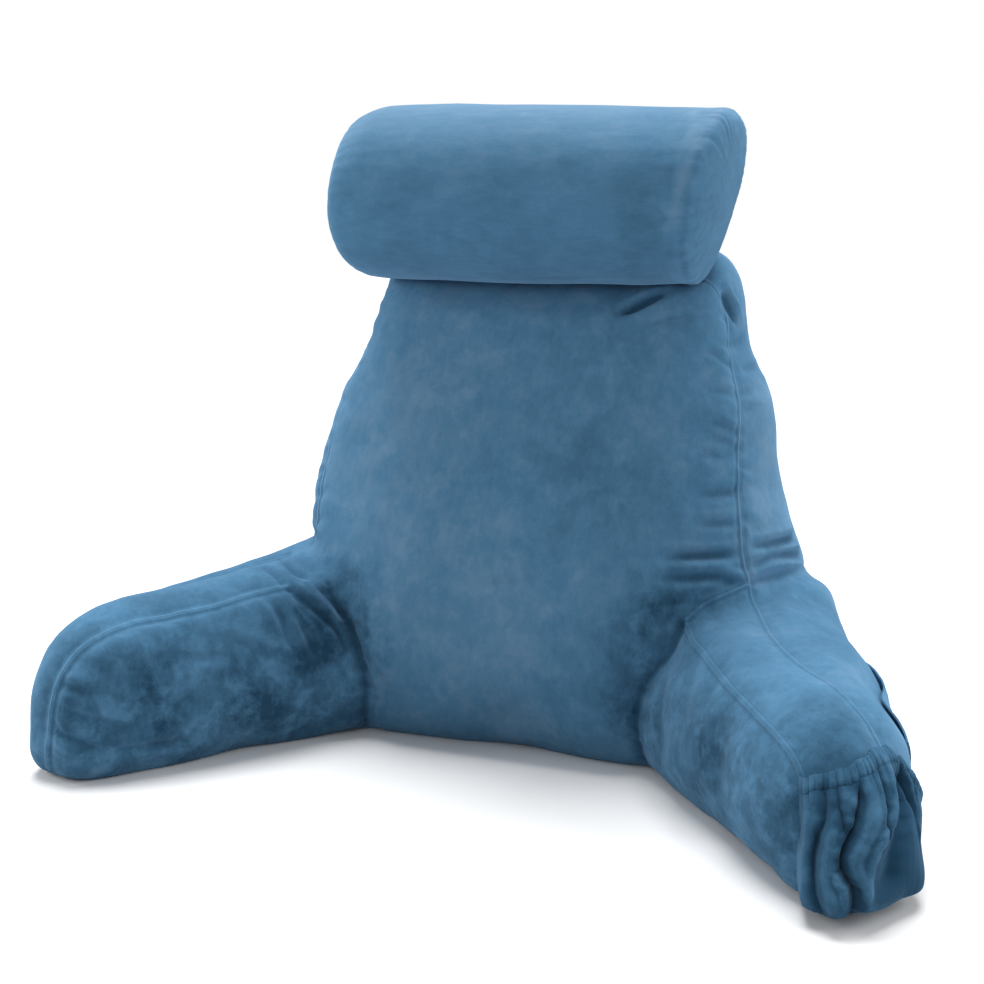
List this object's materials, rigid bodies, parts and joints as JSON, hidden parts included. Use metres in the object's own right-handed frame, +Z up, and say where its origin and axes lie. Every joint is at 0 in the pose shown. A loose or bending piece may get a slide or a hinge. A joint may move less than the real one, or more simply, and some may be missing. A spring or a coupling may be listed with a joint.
{
  "type": "reading pillow with arms",
  "caption": "Leaning backrest cushion with splayed arm cushions, a neck roll on top, a gathered pocket on the end of an arm and a flat pocket on its side.",
  "frame": {"origin": "on the backrest's flat underside, in the middle of it", "axes": "+X to the right across both arms, seen from the seat side; +Y to the back; +Z up"},
  "size_m": [0.9507, 0.5524, 0.7355],
  "materials": {
    "blue_plush": "short soft pile, slightly mottled",
    "blue_plush_roll": "short soft pile, slightly mottled",
    "blue_plush_pocket": "short soft pile, slightly mottled"
  },
  "bodies": {
    "root": {"back_cushion": "blue_plush", "arm_left": "blue_plush", "arm_right": "blue_plush", "neck_roll": "blue_plush_roll", "front_pocket": "blue_plush_pocket", "side_pocket": "blue_plush_pocket"}
  },
  "joints": []
}
